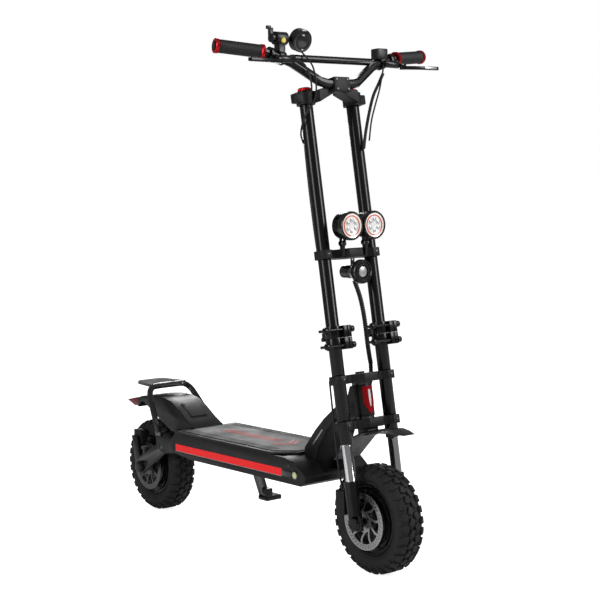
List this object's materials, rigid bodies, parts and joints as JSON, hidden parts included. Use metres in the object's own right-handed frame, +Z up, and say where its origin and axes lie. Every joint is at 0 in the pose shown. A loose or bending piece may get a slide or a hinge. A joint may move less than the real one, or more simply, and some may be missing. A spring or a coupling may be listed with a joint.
{
  "type": "electric kick scooter",
  "caption": "Foldable off-road electric kick scooter with a wide deck, twin-tube fork and stem, block-tread tyres, disc brakes and a pair of round headlamps.",
  "frame": {"origin": "on the ground, midway between the two axles", "axes": "+X forward, +Y to the rider's left, +Z up"},
  "size_m": [1.2934, 0.698, 1.383],
  "materials": {
    "anodised_black": "satin black",
    "cast_grey": "fine grained dark grey",
    "steel": "brushed",
    "chrome": "bright",
    "tyre_rubber": "matte",
    "soft_rubber": "matte",
    "black_plastic": "satin black",
    "red_plastic": "translucent red"
  },
  "bodies": {
    "frame": {"deck_hull": "cast_grey", "deck_lid": "cast_grey", "deck_grip_mat": "soft_rubber", "battery_pack": "black_plastic", "side_light_left": "red_plastic", "side_light_right": "red_plastic", "neck_frame": "anodised_black", "headset_bearing_lower": "steel", "headset_bearing_upper": "steel", "rear_handle": "anodised_black", "rear_fender": "black_plastic", "tail_light": "red_plastic", "swing_pivot_pin": "steel", "neck_loom": "soft_rubber"},
    "kickstand": {"kickstand_arm": "anodised_black"},
    "rear_arm": {"swingarm": "anodised_black", "rear_axle": "steel", "rear_caliper": "cast_grey"},
    "rear_wheel": {"rear_tyre": "tyre_rubber", "rear_hub_motor": "anodised_black", "rear_rotor": "steel"},
    "fork_upper": {"lower_crown": "cast_grey", "middle_crown": "cast_grey", "fork_outer_left": "anodised_black", "fork_outer_right": "anodised_black", "front_fender": "black_plastic", "front_brake_hose": "soft_rubber"},
    "stem": {"stem_tube_left": "anodised_black", "stem_tube_right": "anodised_black", "light_bracket": "cast_grey", "top_crown": "cast_grey", "handlebar": "anodised_black", "grip_left": "soft_rubber", "grip_right": "soft_rubber", "brake_master_left": "anodised_black", "brake_master_right": "anodised_black", "throttle_housing": "black_plastic", "display_unit": "black_plastic", "switch_box": "black_plastic", "horn": "black_plastic", "bar_loom": "soft_rubber", "left_loom": "soft_rubber", "right_loom": "soft_rubber"},
    "fork_lower": {"fork_lower_left": "chrome", "fork_lower_right": "chrome", "front_axle": "steel", "front_caliper": "cast_grey"},
    "front_wheel": {"front_tyre": "tyre_rubber", "front_hub_motor": "anodised_black", "front_rotor": "steel"},
    "brake_lever_left_body": {"brake_lever_left": "anodised_black"},
    "brake_lever_right_body": {"brake_lever_right": "anodised_black"},
    "throttle_trigger_body": {"throttle_trigger": "black_plastic"},
    "horn_button_body": {"horn_button": "red_plastic"},
    "headlamp_left_body": {"headlamp_left": "cast_grey"},
    "headlamp_right_body": {"headlamp_right": "cast_grey"},
    "clamp_bolt_lower_left_body": {"clamp_bolt_lower_left": "steel"},
    "clamp_bolt_lower_right_body": {"clamp_bolt_lower_right": "steel"},
    "clamp_bolt_upper_left_body": {"clamp_bolt_upper_left": "steel"},
    "clamp_bolt_upper_right_body": {"clamp_bolt_upper_right": "steel"}
  },
  "joints": [
    {"name": "steering", "type": "hinge", "parent": "frame", "child": "fork_upper", "pos_m": [0.45733, 0, 0.43496], "axis": [-0.1542, 0, 0.988], "range_deg": [-35, 35], "deforming": ["neck_loom"]},
    {"name": "stem_fold", "type": "hinge", "parent": "fork_upper", "child": "stem", "pos_m": [0.4113, 0, 0.597], "axis": [0, -1, 0], "range_deg": [0, 90], "deforming": ["left_loom", "right_loom"]},
    {"name": "fork_slide", "type": "slide", "parent": "fork_upper", "child": "fork_lower", "axis": [-0.1542, 0, 0.988], "range_m": [0, 0.04], "stiffness_N_per_m": 12000, "springref_m": -0.02, "deforming": ["front_brake_hose"]},
    {"name": "front_wheel_spin", "type": "hinge", "parent": "fork_lower", "child": "front_wheel", "pos_m": [0.507, 0, 0.1397], "axis": [0, 1, 0], "continuous": true},
    {"name": "rear_suspension", "type": "hinge", "parent": "frame", "child": "rear_arm", "pos_m": [-0.34, 0, 0.225], "axis": [0, 1, 0], "range_deg": [0, 12], "stiffness_Nm_per_rad": 500, "springref_deg": -6.88},
    {"name": "rear_wheel_spin", "type": "hinge", "parent": "rear_arm", "child": "rear_wheel", "pos_m": [-0.507, 0, 0.1397], "axis": [0, 1, 0], "continuous": true},
    {"name": "kickstand_swing", "type": "hinge", "parent": "frame", "child": "kickstand", "pos_m": [-0.145, 0.085, 0.194], "axis": [0, 1, 0], "range_deg": [0, 70]},
    {"name": "brake_lever_left_pull", "type": "hinge", "parent": "stem", "child": "brake_lever_left_body", "pos_m": [0.403, 0.205, 1.2905], "axis": [0, 0, 1], "range_deg": [0, 20], "stiffness_Nm_per_rad": 0.8, "springref_deg": -5.73},
    {"name": "brake_lever_right_pull", "type": "hinge", "parent": "stem", "child": "brake_lever_right_body", "pos_m": [0.403, -0.205, 1.2905], "axis": [0, 0, -1], "range_deg": [0, 20], "stiffness_Nm_per_rad": 0.8, "springref_deg": -5.73},
    {"name": "throttle_pull", "type": "hinge", "parent": "stem", "child": "throttle_trigger_body", "pos_m": [0.36, -0.19, 1.353], "axis": [0, -1, 0], "range_deg": [0, 30], "stiffness_Nm_per_rad": 0.2, "springref_deg": -5.73},
    {"name": "horn_button_press", "type": "slide", "parent": "stem", "child": "horn_button_body", "axis": [1, 0, 0], "range_m": [0, 0.002], "stiffness_N_per_m": 300, "springref_m": -0.001},
    {"name": "headlamp_left_tilt", "type": "hinge", "parent": "stem", "child": "headlamp_left_body", "pos_m": [0.432, 0.0375, 0.8395], "axis": [0, 1, 0], "range_deg": [-5, 15]},
    {"name": "headlamp_right_tilt", "type": "hinge", "parent": "stem", "child": "headlamp_right_body", "pos_m": [0.432, -0.0375, 0.8395], "axis": [0, 1, 0], "range_deg": [-5, 15]},
    {"name": "clamp_bolt_upper_left_turn", "type": "hinge", "parent": "stem", "child": "clamp_bolt_upper_left_body", "pos_m": [0.46117, 0.0775, 0.62502], "axis": [0, 1, 0], "range_deg": [0, 90]},
    {"name": "clamp_bolt_lower_left_turn", "type": "hinge", "parent": "fork_upper", "child": "clamp_bolt_lower_left_body", "pos_m": [0.46734, 0.0775, 0.5855], "axis": [0, 1, 0], "range_deg": [0, 90]},
    {"name": "clamp_bolt_upper_right_turn", "type": "hinge", "parent": "stem", "child": "clamp_bolt_upper_right_body", "pos_m": [0.46117, -0.0775, 0.62502], "axis": [0, 1, 0], "range_deg": [0, 90]},
    {"name": "clamp_bolt_lower_right_turn", "type": "hinge", "parent": "fork_upper", "child": "clamp_bolt_lower_right_body", "pos_m": [0.46734, -0.0775, 0.5855], "axis": [0, 1, 0], "range_deg": [0, 90]}
  ]
}
